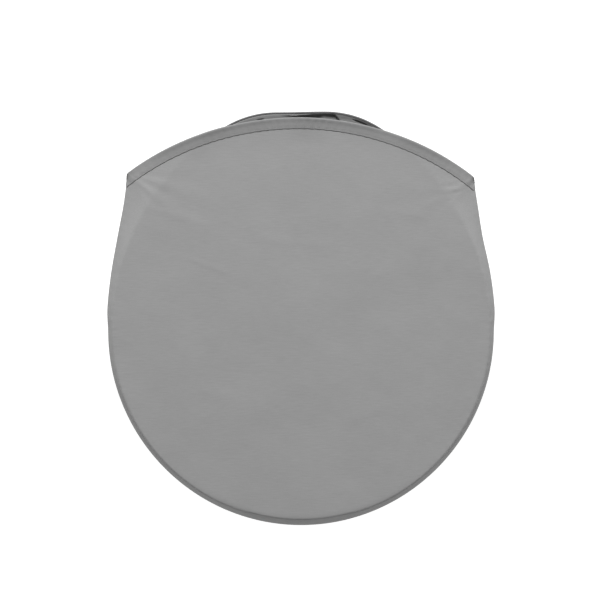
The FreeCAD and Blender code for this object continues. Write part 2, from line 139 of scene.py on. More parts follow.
# how finely things are divided
SPAN_STEPS = 40
SIDE_STEPS, BELOW_STEPS = 200, 400
SEAM_STEPS, MOUTH_STEPS, RINGS = 460, 180, 72
RING_POWER = 1.6  # above 1, the rings crowd towards the edge
HEM_STEPS = 440
COIL_STEPS = (90, 75, 40)  # below, flank and crown of half a coil
CROSSING_STEPS = 20
BINDING_STEPS = 1500
LEAF_STEPS = 1400
THREAD_SIDES = 6


# ---------------------------------------------------------------- curves


def lengths_along(line):
    """How far along the line each of its points is."""
    steps = np.linalg.norm(np.diff(line, axis=0), axis=1)
    return np.concatenate([[0], np.cumsum(steps)])


def at_lengths(line, along, places):
    """The line's values at places, which are lengths along it."""
    return np.stack([np.interp(places, along, column) for column in line.T], 1)


def evenly(line, count):
    """The same line with count points, evenly spaced along it."""
    along = lengths_along(line)
    return at_lengths(line, along, np.linspace(0, along[-1], count))


def through(points, count):
    """A smooth curve through a few points, as count points evenly spaced along it."""
    p = np.array(points, float)
    p = np.vstack([2 * p[0] - p[1], p, 2 * p[-1] - p[-2]])
    fine = []
    for a, b, c, d in zip(p[:-3], p[1:-2], p[2:-1], p[3:]):
        t = np.linspace(0, 1, SPAN_STEPS, endpoint=False)[:, None]
        bend = (2 * a - 5 * b + 4 * c - d) * t**2 + (3 * (b - c) + d - a) * t**3
        fine.append(0.5 * (2 * b + (c - a) * t + bend))
    fine.append(p[-2][None])
    return evenly(np.vstack(fine), count)


def arc(centre, radius, start, end, count):
    """Points on a circle from one angle to another, in degrees."""
    a = np.radians(np.linspace(start, end, count))
    return np.stack([centre[0] + radius * np.cos(a), centre[1] + radius * np.sin(a)], 1)


def bow_circle(left, right, rise):
    """The circle whose arc rises above the line between two points.

    Gives its centre and radius, half the line's length, and the directions across and up.
    """
    middle, half = (left + right) / 2, np.linalg.norm(right - left) / 2
    radius = (half**2 + rise**2) / (2 * rise)
    across = (right - left) / (2 * half)
    up = np.array([-across[1], across[0]])
    return middle + up * (rise - radius), radius, half, across, up


def bow(left, right, rise, count):
    """A circle's arc from right to left that rises above the line between them."""
    centre, radius, half, across, up = bow_circle(left, right, rise)
    spread = math.asin(half / radius)
    turn = np.linspace(spread, -spread, count)[:, None]
    return centre + radius * (np.sin(turn) * across + np.cos(turn) * up)


def longer_bow(left, right, rise, count, extra=14 * MM, added=10):
    """The bow, run on straight past both corners; each end takes added of the count points."""
    line = bow(left, right, rise, count - 2 * added)
    steps = np.linspace(extra, 0, added + 1)[:-1, None]
    start, end = line[0] - line[1], line[-1] - line[-2]
    before = line[0] + start / np.linalg.norm(start) * steps
    after = line[-1] + end / np.linalg.norm(end) * steps
    return np.vstack([before, line, after[::-1]])


def tangents(path, closed=False):
    """Unit directions along a path."""
    if closed:
        step = np.roll(path, -1, 0) - np.roll(path, 1, 0)
    else:
        step = np.gradient(path, axis=0)
    return step / np.maximum(np.linalg.norm(step, axis=1, keepdims=True), 1e-12)


def inward_normals(line):
    """Unit directions across a flat line, towards the pouch's middle."""
    ahead = tangents(line)
    inwards = np.stack([-ahead[:, 1], ahead[:, 0]], 1)
    return inwards * np.sign(((CENTRE - line) * inwards).sum(1))[:, None]


def smooth_step(x, low, high):
    """0 below low, 1 above high, smooth between."""
    t = np.clip((x - low) / (high - low), 0, 1)
    return t * t * (3 - 2 * t)


def window(x, low, full, falling, gone):
    """0 below low, 1 from full to falling, 0 above gone, smooth between."""
    return smooth_step(x, low, full) * (1 - smooth_step(x, falling, gone))


def side(points, way):
    """One side of the pouch, from its widest point up to the mouth's corner."""
    return through([(way * (POUCH_RADIUS - x * MM), y * MM) for y, x in points], SIDE_STEPS)


def seam_line():
    """The pouch's seam from the left corner, round below, to the right corner."""
    below = arc((0, 0), POUCH_RADIUS, 180, 360, BELOW_STEPS)
    below *= 1 + BOTTOM_SLACK * (np.clip(-below[:, 1:], 0, None) / POUCH_RADIUS) ** 3
    left = side(LEFT_SIDE, -1)[::-1]
    right = side(RIGHT_SIDE, 1)
    return evenly(np.vstack([left[:-1], below, right[1:]]), SEAM_STEPS)


SEAM = seam_line()
LEFT_CORNER, RIGHT_CORNER = SEAM[0], SEAM[-1]
LEFT_SEAM = SEAM[: SEAM_STEPS // 4][::-1]
RIGHT_SEAM = SEAM[-SEAM_STEPS // 4 :]


# ---------------------------------------------------------------- the coils' path


def half_coil(lane, grow=0.0):
    """The right half of a coil, from its lowest point to the end of the flat top."""
    radius = BINDING_BOX[1].x - BINDING_WIDTH / 2
    height = BINDING_BOX[1].y - BINDING_WIDTH / 2 - lane
    crown = CROWN_RADIUS
    rise, reach = height - crown, radius - CROWN_FLAT - crown
    apart = (rise**2 + reach**2) / (2 * reach)
    flank = crown + apart
    meet = math.degrees(math.asin(rise / apart))
    below_steps, flank_steps, crown_steps = COIL_STEPS
    return np.vstack(
        [
            arc((0, 0), radius + grow, -90, 0, below_steps)[:-1],
            arc((radius - flank, 0), flank + grow, 0, meet, flank_steps)[:-1],
            arc((CROWN_FLAT, height - crown), crown + grow, meet, 90, crown_steps),
        ]
    )


MIRROR = np.array([-1.0, 1.0])


def coil_outline(grow):
    """The closed outline of the coils, moved out by grow."""
    right = half_coil(0, grow)
    return np.vstack([right, (right * MIRROR)[::-1]])


def hoop_path():
    """The band's whole path: three coils that climb across the flat top and come back inside."""
    level = STACK_BASE + CASING_HEIGHT / 2
    pitch = (STACK_TOP - STACK_BASE - CASING_HEIGHT) / (COILS - 1)
    path = []
    for coil in range(COILS):
        first, last = coil == 0, coil == COILS - 1
        z = level + coil * pitch
        down = half_coil(LANE_STEP if first else 0)[::-1]
        up = half_coil(LANE_STEP if last else 0) * MIRROR
        turn = np.vstack([down, up[1:]])
        path.append(np.column_stack([turn, np.full(len(turn), z)]))
        start = path[-1][-1]
        z_end = level if last else z + pitch
        share = np.linspace(0, 1, CROSSING_STEPS + 2)[1:-1]
        rise = np.where(share < 0.5, 2 * share**2, 1 - 2 * (1 - share) ** 2)
        x = start[0] + share * 2 * CROWN_FLAT
        y = np.full(len(share), start[1])
        path.append(np.column_stack([x, y, z + rise * (z_end - z)]))
    return np.vstack(path)


# ---------------------------------------------------------------- meshes


def add_mesh(name, points, faces, material, smooth=True):
    """A mesh object from points and faces."""
    mesh = bpy.data.meshes.new(name)
    mesh.from_pydata([tuple(p) for p in points], [], [tuple(f) for f in faces])
    mesh.validate()
    mesh.update()
    mesh.polygons.foreach_set("use_smooth", [smooth] * len(mesh.polygons))
    piece = bpy.data.objects.new(name, mesh)
    bpy.context.scene.collection.objects.link(piece)
    mesh.materials.append(material)
    return piece


def grid_faces(rows, columns, wrap_columns=False, wrap_rows=False):
    """Quads over a grid of points, row by row."""
    faces = []
    for r in range(rows if wrap_rows else rows - 1):
        for c in range(columns if wrap_columns else columns - 1):
            r2, c2 = (r + 1) % rows, (c + 1) % columns
            faces.append(
                (r * columns + c, r * columns + c2, r2 * columns + c2, r2 * columns + c)
            )
    return faces


def tube_faces(rings, sides, first=0, closed=False):
    """Faces over rings of points from vertex first on, with caps unless the tube is closed."""
    faces = []
    for face in grid_faces(rings, sides, wrap_columns=True, wrap_rows=closed):
        faces.append(tuple(first + v for v in face))
    if not closed:
        last = first + (rings - 1) * sides
        faces.append(tuple(range(first, first + sides))[::-1])
        faces.append(tuple(range(last, last + sides)))
    return faces


def tube(name, sections, material, closed=False):
    """A skin over rings of points: sections[i] is the i-th ring along it."""
    rings, sides = sections.shape[:2]
    faces = tube_faces(rings, sides, closed=closed)
    return add_mesh(name, sections.reshape(-1, 3), faces, material)


def disc(points, way=1):
    """Vertices and faces of a sheet, from rows of points that all run in to one middle point.

    way is 1 to face up and -1 to face down.
    """
    turns, columns = points.shape[0], points.shape[1] - 1
    vertices = np.vstack([points[:, :-1].reshape(-1, 3), points[:, -1].mean(0)])
    middle = len(vertices) - 1
    faces = []
    for i in range(turns):
        i2 = (i + 1) % turns
        for j in range(columns - 1):
            a, b = i * columns + j, i2 * columns + j
            faces.append((a, b, b + 1, a + 1)[::way])
        inmost = (i * columns + columns - 1, i2 * columns + columns - 1, middle)
        faces.append(inmost[::way])
    return vertices, faces


def stitches(name, path, normal, material, length=2.6 * MM, gap=0.7 * MM, radius=0.24 * MM):
    """A row of separate stitches that dip into the cloth at both ends."""
    along = lengths_along(path)
    stations = np.linspace(0, 1, 5)
    angles = np.linspace(0, 2 * np.pi, THREAD_SIDES, endpoint=False)
    points, faces = [], []
    for index in range(int(along[-1] // (length + gap))):
        places = index * (length + gap) + gap / 2 + stations * length
        line = at_lengths(path, along, places)
        up = at_lengths(normal, along, places)
        across = np.cross(tangents(line), up)
        line = line + up * (radius * (1.5 * np.sin(np.pi * stations) - 0.8))[:, None]
        girth = radius * np.sqrt(np.clip(np.sin(np.pi * (0.1 + 0.8 * stations)), 0, 1))
        first = len(points)
        for k in range(len(stations)):
            ring = np.cos(angles)[:, None] * across[k] + np.sin(angles)[:, None] * up[k]
            points.extend(line[k] + girth[k] * ring)
        faces.extend(tube_faces(len(stations), THREAD_SIDES, first))
    return add_mesh(name, points, faces, material)


def thicken(piece, thickness):
    """Gives a sheet its thickness, on the side away from its faces."""
    solid = piece.modifiers.new("thickness", "SOLIDIFY")
    solid.thickness = thickness
    solid.offset = -1
    return piece


# ---------------------------------------------------------------- materials


def new_material(name):
    """An empty node material: the material, its node tree and its principled shader."""
    material = bpy.data.materials.new(name)
    material.use_nodes = True
    shader = material.node_tree.nodes["Principled BSDF"]
    return material, material.node_tree, shader


def add_node(tree, kind, **inputs):
    """A node with its input sockets set by name."""
    node = tree.nodes.new(kind)
    for socket, value in inputs.items():
        node.inputs[socket.replace("_", " ")].default_value = value
    return node


def math_node(tree, operation, a, b):
    """A math node of two inputs, each a socket or a number."""
    node = tree.nodes.new("ShaderNodeMath")
    node.operation = operation
    for index, value in enumerate((a, b)):
        if isinstance(value, (int, float)):
            node.inputs[index].default_value = value
        else:
            tree.links.new(value, node.inputs[index])
    return node.outputs[0]


def add_bump(tree, shader, height, strength, distance):
    """Fine relief from a socket that gives the height."""
    bump = add_node(tree, "ShaderNodeBump", Strength=strength, Distance=distance)
    tree.links.new(height, bump.inputs["Height"])
    tree.links.new(bump.outputs[0], shader.inputs["Normal"])


def vary_colour(tree, shader, factor, colour, darkest, lightest):
    """A base colour that runs between two shares of the colour with the factor."""
    ramp = tree.nodes.new("ShaderNodeValToRGB")
    for element, share in zip(ramp.color_ramp.elements, (darkest, lightest)):
        element.color = (*[min(1, c * share) for c in colour], 1)
    tree.links.new(factor, ramp.inputs[0])
    tree.links.new(ramp.outputs[0], shader.inputs["Base Color"])


def cloth_material(name, colour, weave=0.9 * MM, slub=1.0, mottle=0.04, sheen=0.04):
    """Plain-weave cotton: crossed threads, slubs along the weft and faint uneven dye."""
    material, tree, shader = new_material(name)
    links = tree.links
    place = tree.nodes.new("ShaderNodeTexCoord").outputs["Object"]

    def stretched_noise(size, stretch, detail):
        mapping = add_node(tree, "ShaderNodeMapping")
        mapping.inputs["Scale"].default_value = (1 / stretch, 1, 1)
        links.new(place, mapping.inputs["Vector"])
        noise = add_node(tree, "ShaderNodeTexNoise", Scale=1 / size, Detail=detail)
        links.new(mapping.outputs[0], noise.inputs["Vector"])
        return noise.outputs["Fac"]

    def threads(direction):
        wave = add_node(tree, "ShaderNodeTexWave", Scale=math.pi / (10 * weave), Distortion=0.6)
        wave.inputs["Detail Scale"].default_value = 2.0
        wave.bands_direction = direction
        links.new(place, wave.inputs["Vector"])
        return wave.outputs["Fac"]

    crossed = math_node(tree, "MAXIMUM", threads("X"), threads("Y"))
    slubs = stretched_noise(size=1.2 * MM, stretch=14, detail=2)
    warp = stretched_noise(size=2.2 * MM, stretch=0.16, detail=2)
    cloud = stretched_noise(size=70 * MM, stretch=1, detail=4)
    grain = stretched_noise(size=1.4 * MM, stretch=1, detail=2)

    def swing(socket, amount):
        return math_node(tree, "MULTIPLY", math_node(tree, "SUBTRACT", socket, 0.5), amount)

    total = math_node(tree, "ADD", swing(slubs, 0.20 * slub), swing(warp, 0.07 * slub))
    for socket, amount in ((cloud, mottle * 2), (grain, 0.10), (crossed, 0.06)):
        total = math_node(tree, "ADD", total, swing(socket, amount))
    factor = math_node(tree, "ADD", total, 1.0)
    tint = tree.nodes.new("ShaderNodeVectorMath")
    tint.operation = "SCALE"
    tint.inputs[0].default_value = colour
    links.new(factor, tint.inputs["Scale"])
    links.new(tint.outputs[0], shader.inputs["Base Color"])

    height = math_node(tree, "ADD", crossed, math_node(tree, "MULTIPLY", slubs, 1.2))
    add_bump(tree, shader, height, 0.35, 0.12 * MM)
    rough = math_node(tree, "ADD", math_node(tree, "MULTIPLY", grain, 0.12), 0.82)
    links.new(rough, shader.inputs["Roughness"])
    shader.inputs["Sheen Weight"].default_value = sheen
    shader.inputs["Sheen Roughness"].default_value = 0.6
    shader.inputs["Specular IOR Level"].default_value = 0.2
    return material


def metal_material(name, colour, roughness, streak):
    """Rolled or turned metal with fine streaks in its plane."""
    material, tree, shader = new_material(name)
    place = tree.nodes.new("ShaderNodeTexCoord").outputs["Object"]
    mapping = add_node(tree, "ShaderNodeMapping")
    mapping.inputs["Scale"].default_value = (0.05, 0.05, 1)
    tree.links.new(place, mapping.inputs["Vector"])
    noise = add_node(tree, "ShaderNodeTexNoise", Scale=1 / streak, Detail=4)
    tree.links.new(mapping.outputs[0], noise.inputs["Vector"])
    streaks = noise.outputs["Fac"]
    vary_colour(tree, shader, streaks, colour, 0.8, 1.15)
    uneven = math_node(tree, "MULTIPLY", streaks, 0.15)
    rough = math_node(tree, "ADD", uneven, roughness)
    tree.links.new(rough, shader.inputs["Roughness"])
    add_bump(tree, shader, streaks, 0.1, 0.05 * MM)
    shader.inputs["Metallic"].default_value = 1.0
    return material


def thread_material(name, colour):
    """Spun thread with a fine ply twist."""
    material, tree, shader = new_material(name)
    place = tree.nodes.new("ShaderNodeTexCoord").outputs["Object"]
    noise = add_node(tree, "ShaderNodeTexNoise", Scale=1 / (0.5 * MM), Detail=2)
    tree.links.new(place, noise.inputs["Vector"])
    vary_colour(tree, shader, noise.outputs["Fac"], colour, 0.75, 1.2)
    add_bump(tree, shader, noise.outputs["Fac"], 0.4, 0.08 * MM)
    shader.inputs["Roughness"].default_value = 0.7
    return material


POUCH_CLOTH = cloth_material("pouch_cloth", (0.262, 0.262, 0.262))
# the hem is the pouch's own cloth painted a shade darker: painted shade standing in for the
# shade on the hem's curled band
SHADED_HEM_CLOTH = cloth_material("hem_cloth", (0.24, 0.24, 0.24), slub=1.2)
BACKDROP_CLOTH = cloth_material("backdrop_cloth", (0.155, 0.155, 0.155), mottle=0.08)
BINDING_CLOTH = cloth_material("binding_cloth", (0.12, 0.12, 0.122), weave=1.1 * MM)
TAPE_CLOTH = cloth_material("tape_cloth", (0.17, 0.17, 0.17), weave=0.7 * MM)
THREAD = thread_material("grey_thread", (0.25, 0.25, 0.25))
DARK_THREAD = thread_material("dark_thread", (0.10, 0.10, 0.10))


# ---------------------------------------------------------------- the pouch's two panels


def signed_inside(points, outline):
    """Distance of points from a closed outline, positive inside it."""
    start, end = outline, np.roll(outline, -1, 0)
    step = end - start
    best = np.full(len(points), np.inf)
    inside = np.zeros(len(points), bool)
    for a, b, d in zip(start, end, step):
        t = np.clip(((points - a) @ d) / max(d @ d, 1e-18), 0, 1)
        best = np.minimum(best, np.linalg.norm(points - (a + t[:, None] * d), axis=1))
        if a[1] != b[1]:
            crosses = (a[1] > points[:, 1]) != (b[1] > points[:, 1])
            at = a[0] + (points[:, 1] - a[1]) / (b[1] - a[1]) * d[0]
            inside ^= crosses & (points[:, 0] < at)
    return np.where(inside, best, -best)


def panel_grid(mouth_rise):
    """Rings of points from the pouch's edge to its middle, shaped (around, inwards, 2)."""
    mouth = bow(LEFT_CORNER, RIGHT_CORNER, mouth_rise, MOUTH_STEPS + 2)[1:-1]
    edge = np.vstack([SEAM, mouth])
    inward = (np.arange(RINGS + 1) / RINGS) ** RING_POWER
    return edge[:, None] + (CENTRE - edge)[:, None] * inward[None, :, None]


def seam_height(points):
    """The seam's height: a little higher at the mouth's corners, where the cloth is slack."""
    return SEAM_Z + CORNER_RISE * smooth_step(points[..., 1], CORNER_FROM, 230 * MM)


def stretch_over_coils(grid, edge_z, plateau, dip):
    """Heights of a cloth held at its seam and pulled over a rounded plateau of the coils.

    The cloth takes the lowest slack-free surface that stays above the plateau: an average of
    its neighbours everywhere it isn't touching. Towards the lowest stretch of the coils' outline
    the plateau bends down by dip.
    """
    around, inwards = grid.shape[:2]
    flat = grid.reshape(-1, 2)
    room = signed_inside(flat, coil_outline(BINDING_WIDTH / 2 + CLOTH)[::2])
    room = room.reshape(around, inwards)
    below = np.clip(-flat[:, 1].reshape(around, inwards) / POUCH_RADIUS, 0, 1)
    room = room - BOTTOM_INSET * below**3
    rounded = np.clip(SHOULDER - room, 0, SHOULDER)
    lift = plateau - (SHOULDER - np.sqrt(np.maximum(SHOULDER**2 - rounded**2, 0)))
    lift -= dip * below**3 * np.clip(1 - room / EDGE_DIP_REACH, 0, 1) ** 2
    floor = np.where(room > 0, lift, -1.0)
    # each point's weights towards its neighbours: outwards, inwards, and both ways round
    inner = np.linalg.norm(np.diff(grid, axis=1), axis=2)
    turned = np.linalg.norm(np.roll(grid, -1, 0) - grid, axis=2)
    across = (turned + np.roll(turned, 1, 0)) / 2
    middle_width = (across[:, :-1] + across[:, 1:]) / 2
    w_in = middle_width / np.maximum(inner, 1e-7)
    spans = np.zeros((around, inwards))
    spans[:, :-1] += inner / 2
    spans[:, 1:] += inner / 2
    w_turn = spans / np.maximum(turned, 1e-7)
    w_out = np.zeros((around, inwards))
    w_out[:, 1:] = w_in
    w_next = np.zeros((around, inwards))
    w_next[:, :-1] = w_in
    w_back = np.roll(w_turn, 1, 0)
    total = w_out + w_next + w_turn + w_back
    z = np.where(room > 0, lift, edge_z)
    held = np.zeros((around, inwards), bool)
    held[: len(SEAM), 0] = True
    held[:, -1] = True
    for _ in range(RELAX_ROUNDS):
        pulled = w_turn * np.roll(z, -1, 0) + w_back * np.roll(z, 1, 0)
        pulled[:, 1:] += w_out[:, 1:] * z[:, :-1]
        pulled[:, :-1] += w_next[:, :-1] * z[:, 1:]
        z = np.where(held, z, np.maximum(pulled / total, floor))
    return z


def ridges(points, origin, direction, spread, reach, waves, height, phase=0.0):
    """Creases that fan out from a point towards a direction and die away with distance.

    direction and spread are in degrees.
    """
    out = points - origin
    far = np.linalg.norm(out, axis=-1)
    angle = np.arctan2(out[..., 1], out[..., 0]) - math.radians(direction)
    angle = (angle + np.pi) % (2 * np.pi) - np.pi
    fan = np.exp(-((angle / math.radians(spread)) ** 2))
    fade = smooth_step(far, 3 * MM, 18 * MM) * np.exp(-((far / reach) ** 1.5))
    crest = np.cos(angle * waves / math.radians(spread) + phase)
    return height * fan * fade * crest


def crease(points, start, end, width, height):
    """One soft straight fold from start to end; start and end are in mm."""
    start, end = np.array(start) * MM, np.array(end) * MM
    along = end - start
    long = np.linalg.norm(along)
    unit = along / long
    out = points - start
    t = out @ unit / long
    off = out @ np.array([-unit[1], unit[0]])
    ends = window(t, -0.15, 0.25, 0.7, 1.15)
    return height * ends * np.exp(-((off / width) ** 2)) * (1 - 0.6 * (off / width))


def ripple(points, seed, size, height):
    """Slow unevenness made of a few sine waves with seeded directions."""
    rng = np.random.default_rng(seed)
    total = np.zeros(points.shape[:-1])
    for _ in range(7):
        turn, phase = rng.uniform(0, 2 * np.pi, 2)
        wave = rng.uniform(0.6, 1.7) * 2 * np.pi / size
        way = np.array([math.cos(turn), math.sin(turn)]) * wave
        total += np.sin(points @ way + phase)
    return total * height / 3


def front_wrinkles(points):
    """What the front's cloth does besides being taut: corner creases and soft folds."""
    left, right = LEFT_CORNER, RIGHT_CORNER
    z = ridges(points, left, -38, 34, 75 * MM, 10.0, 0.55 * MM)
    z += ridges(points, left, -14, 15, 110 * MM, 3.5, 0.5 * MM, 0.8)
    z += ridges(points, right, 214, 30, 70 * MM, 9.0, 0.55 * MM, 0.5)
    z += ridges(points, right + np.array([0, -20 * MM]), 186, 13, 46 * MM, 4.0, 1.3 * MM, 1.2)
    for start, end, width, height in CREASES:
        z += crease(points, start, end, width * MM, height * MM)
    z += ripple(points, 11, 190 * MM, 0.50 * MM)
    z += ripple(points, 12, 60 * MM, 0.14 * MM)
    return z


def floor_wrinkles(points):
    """The back panel lies flat, with only slow unevenness off the floor."""
    return -np.abs(ripple(points, 21, 150 * MM, 0.15 * MM))


def seam_puckers(count, seed, wave=11 * MM):
    """Small irregular gathers along an edge, as one signed number for each of its points."""
    rng = np.random.default_rng(seed)
    edge = np.arange(count) * 2.6 * MM
    warp = np.cumsum(rng.normal(0, 0.5, count)) * 0.25
    strength = np.convolve(rng.uniform(0, 1, count + 24), np.ones(25) / 25, "valid")[:count]
    return np.sin(2 * np.pi * edge / wave + warp) * strength * 1.6


def mouth_flare(points, mouth_rise):
    """The front's mouth edge curls up and outwards, except at the tacked corners."""
    centre, radius, half, across, _ = bow_circle(LEFT_CORNER, RIGHT_CORNER, mouth_rise)
    inside = np.maximum(radius - np.linalg.norm(points - centre, axis=-1), 0)
    from_corner = half - np.abs((points - centre) @ across)
    free = smooth_step(from_corner, 6 * MM, 75 * MM)
    x = points[..., 0]
    uneven = 1 + 0.12 * np.sin(x / (31 * MM)) + 0.08 * np.sin(x / (13 * MM))
    curl = LIP_DROP * np.clip(1 - inside / LIP_ROLL, 0, 1) ** 2
    flare = sum(height * np.exp(-inside / reach) for height, reach in FLARES)
    billow = BILLOW * np.exp(-(((x - 5 * MM) / (38 * MM)) ** 2))
    billow = billow * (1 - smooth_step(inside, 8 * MM, 44 * MM))
    return free * (flare * uneven - curl) + billow


def make_panel(name, mouth_rise, way, plateau, wrinkles, seed):
    """One of the pouch's panels: way is +1 for the front and -1 for the back.

    Heights are taken outwards, so the back's are turned over at the end. Gives the piece, and
    its surface for other pieces to lie on.
    """
    grid = panel_grid(mouth_rise)
    seam_z = way * seam_height(grid)
    dip = EDGE_DIP if way > 0 else 0
    heights = stretch_over_coils(grid, seam_z, way * plateau, dip)
    reach = np.maximum(way * plateau - seam_z, 1e-6)
    share = np.clip((heights - seam_z) / reach, 0, 1)
    corner = smooth_step(grid[..., 1], CORNER_FROM, 200 * MM)
    low_side = smooth_step(-grid[..., 1], 120 * MM, 290 * MM)
    full = FULLNESS - LESS_AT_CORNERS * corner - LESS_BELOW * low_side
    share = share + full * (np.sin(np.pi / 2 * share) - share)
    heights = seam_z + share * reach
    heights += wrinkles(grid) * smooth_step(share, 0.35, 1.0)
    if way > 0:
        heights += mouth_flare(grid, mouth_rise)
    # gathers beside the seam, and the seam itself pulled in
    pucker = np.zeros(len(grid))
    pucker[: len(SEAM)] = seam_puckers(len(SEAM), seed)
    away = np.linalg.norm(grid - grid[:, :1], axis=2)
    fade = np.exp(-away / (9 * MM)) * smooth_step(away, 0, 2.5 * MM)
    heights += 0.5 * MM * pucker[:, None] * fade
    inward = CENTRE - grid[: len(SEAM), 0]
    inward /= np.linalg.norm(inward, axis=1, keepdims=True)
    grid[: len(SEAM), 0] += inward * SEAM_PULL
    vertices, faces = disc(np.dstack([grid, way * heights]), way)
    piece = add_mesh(name, vertices, faces, POUCH_CLOTH)
    return thicken(piece, CLOTH), BVHTree.FromPolygons(vertices.tolist(), faces)


# ---------------------------------------------------------------- hems, seam and tacks


def upward(normal):
    """The normal, turned to the side that points up."""
    return -normal if normal.z < 0 else normal


def drop_on(surface, x, y):
    """The point of a surface straight below a place and its upward normal, or None."""
    point, normal = surface.ray_cast(Vector((x, y, ABOVE_ALL)), Vector((0, 0, -1)))[:2]
    return None if point is None else (point, upward(normal))


def lay_on(surface, places):
    """Points and upward normals on a panel, below the places or nearest to them."""
    points, normals = [], []
    for x, y in places:
        hit = drop_on(surface, x, y)
        if hit is None:
            point, normal = surface.find_nearest(Vector((x, y, FRONT_Z)))[:2]
            hit = point, upward(normal)
        points.append(hit[0])
        normals.append(hit[1])
    return np.array(points, float), np.array(normals, float)


def make_hem(name, mouth_rise, surface, seed):
    """A turned hem that lies on a panel along the mouth: a flat band with a stitched groove.

    Gives the piece, the mouth's edge, and the directions inwards from it.
    """
    edge = longer_bow(LEFT_CORNER, RIGHT_CORNER, mouth_rise, HEM_STEPS)
    inwards = inward_normals(edge)
    across, rise = np.array(HEM_PROFILE).T
    edge_support = 1.5 * MM  # nearer to the edge than this, the hem follows the cloth here
    gather = seam_puckers(len(edge), seed, 23 * MM)
    middle = np.exp(-((edge[:, 0] + 2 * MM) / (75 * MM)) ** 4)
    rows = []
    for step, up in zip(across * MM, rise * HEM_THICKNESS):
        wander = gather * 0.35 * MM * (step / HEM_WIDTH) ** 2
        places = edge + inwards * (step + wander)[:, None]
        # the band's ends are cut along the side seams
        left = np.interp(places[:, 1], LEFT_SEAM[:, 1], LEFT_SEAM[:, 0])
        right = np.interp(places[:, 1], RIGHT_SEAM[:, 1], RIGHT_SEAM[:, 0])
        places[:, 0] = np.maximum(places[:, 0], left + SEAM_CLEARANCE)
        places[:, 0] = np.minimum(places[:, 0], right - SEAM_CLEARANCE)
        support = edge + inwards * edge_support if step < edge_support else places
        on, normal = lay_on(surface, support)
        on[:, :2] = places
        puff = gather * (0.16 + 0.34 * middle) * math.sin(math.pi * min(step / HEM_WIDTH, 1))
        rows.append(on + normal * (up + puff * MM)[:, None])
    top = np.array(rows).transpose(1, 0, 2)
    under = top[:, ::-1].copy()
    under[..., 2] -= 0.5 * HEM_THICKNESS
    sections = np.concatenate([top, under[:, 1:-1]], axis=1)
    return tube(name, sections, SHADED_HEM_CLOTH), edge, inwards


def hem_stitches(name, edge, inwards, hem):
    """The hem's top-stitching, lying in its groove."""
    surface = BVHTree.FromObject(hem, bpy.context.evaluated_depsgraph_get())
    places = edge + inwards * (HEM_WIDTH - STITCH_FROM_EDGE)
    hits = [drop_on(surface, x, y) for x, y in places[8:-8]]
    points, normals = zip(*[hit for hit in hits if hit is not None])
    return stitches(name, np.array(points), np.array(normals), THREAD)


def seam_points(inset, z_lift=0.0):
    """The seam as 3-D points, moved inwards by inset, and the directions inwards."""
    inwards = inward_normals(SEAM)
    return np.column_stack([SEAM + inwards * inset, seam_height(SEAM) + z_lift]), inwards


def make_seam_tape():
    """Binding tape over the seam's raw edges, inside the pouch, and its row of stitches."""
    width, thick, inset = 3.6 * MM, 1.1 * MM, 1.6 * MM
    line, inwards = seam_points(inset)
    angles = np.linspace(0, 2 * np.pi, 14, endpoint=False)
    flat = np.sign(np.cos(angles)) * np.abs(np.cos(angles)) ** 0.6 * width / 2
    up = np.sin(angles) * thick / 2
    wave = seam_puckers(len(line), 31, 9 * MM) * 0.12 * MM
    sections = np.zeros((len(line), len(angles), 3))
    sections[..., :2] = line[:, None, :2] + inwards[:, None] * (flat + width / 2)[None, :, None]
    sections[..., 2] = line[:, None, 2] + up[None] + wave[:, None]
    tape = tube("side_seam_binding_tape", sections, TAPE_CLOTH)
    row, _ = seam_points(inset + 0.8 * width, thick / 2)
    upwards = np.tile([0.0, 0.0, 1.0], (len(row), 1))
    thread = stitches("side_seam_stitches", row, upwards, THREAD)
    return tape, thread


def make_corner_tack(name, corner, way):
    """Dense parallel stitches that bind front to back at one end of the mouth."""
    bars, rings, spacing = 15, 7, 0.62 * MM
    half_height, bulge, thread_radius = 3.4 * MM, 0.55 * MM, 0.36 * MM
    seam = SEAM if way > 0 else SEAM[::-1]
    steps = np.linalg.norm(seam - corner, axis=1)
    angles = np.linspace(0, 2 * np.pi, THREAD_SIDES, endpoint=False)
    outward = np.array([way, 0.0, 0.0])
    points, faces = [], []
    for index in range(bars):
        target = 1.5 * MM + index * spacing
        place = seam[np.argmin(np.abs(steps - target) + (seam[:, 1] > corner[1] + MM))]
        z = float(seam_height(place[None])[0])
        first = len(points)
        for t in np.linspace(-1, 1, rings):
            centre = np.array([place[0], corner[1] - target, z + t * half_height])
            centre += outward * (bulge - 1.1 * MM * abs(t) ** 2.2)
            for a in angles:
                spoke = np.array([math.cos(a) * way, math.sin(a), 0])
                points.append(centre + thread_radius * spoke)
        faces.extend(tube_faces(rings, THREAD_SIDES, first))
    return add_mesh(name, points, faces, THREAD)


# ---------------------------------------------------------------- the folded backdrop


